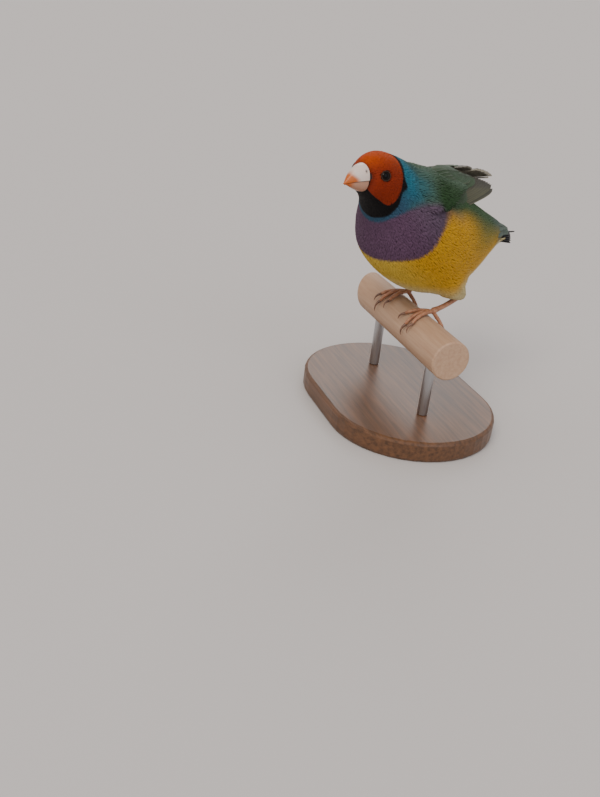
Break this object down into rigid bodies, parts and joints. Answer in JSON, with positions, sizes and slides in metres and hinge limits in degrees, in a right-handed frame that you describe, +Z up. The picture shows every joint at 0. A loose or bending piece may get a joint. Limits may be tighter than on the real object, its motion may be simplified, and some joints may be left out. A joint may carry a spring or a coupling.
{
  "type": "gouldian finch",
  "caption": "Life-size gouldian finch crouched on a cut length of dowel, wings half lifted, on a low stand with a flat wooden base and short steel rods.",
  "frame": {"origin": "middle of the stand base's underside, straight below the point on the dowel's axis midway between the two feet", "axes": "+Z up; -Y the way the bird's body faces; +X the bird's left; the dowel runs level, 22 degrees round from +X towards -Y"},
  "size_m": [0.0902, 0.1188, 0.1033],
  "materials": {
    "mask_feathers": "matt, short orange-red feathers",
    "collar_feathers": "matt, turquoise feathers",
    "breast_feathers": "matt, purple feathers",
    "belly_feathers": "matt, golden-yellow feathers",
    "wing_feathers": "satin, green and brown feathers",
    "tail_feathers": "satin, blue-grey to black feathers",
    "bill_horn": "satin horn",
    "eye": "wet gloss",
    "leg_skin": "fine scaled skin",
    "dowel_wood": "worn bare wood",
    "base_wood": "satin finished wood",
    "rod_steel": "brushed"
  },
  "bodies": {
    "root": {"head": "mask_feathers", "bill_upper": "bill_horn", "bill_lower": "bill_horn", "eye_left": "eye", "eye_right": "eye", "neck": "collar_feathers", "torso": "breast_feathers", "rump": "belly_feathers", "tail": "tail_feathers", "wing_left": "wing_feathers", "wing_right": "wing_feathers", "thigh_left": "belly_feathers", "thigh_right": "belly_feathers", "foot_left": "leg_skin", "foot_right": "leg_skin", "perch": "dowel_wood", "stand_base": "base_wood", "stand_rod_near": "rod_steel", "stand_rod_far": "rod_steel"}
  },
  "joints": []
}
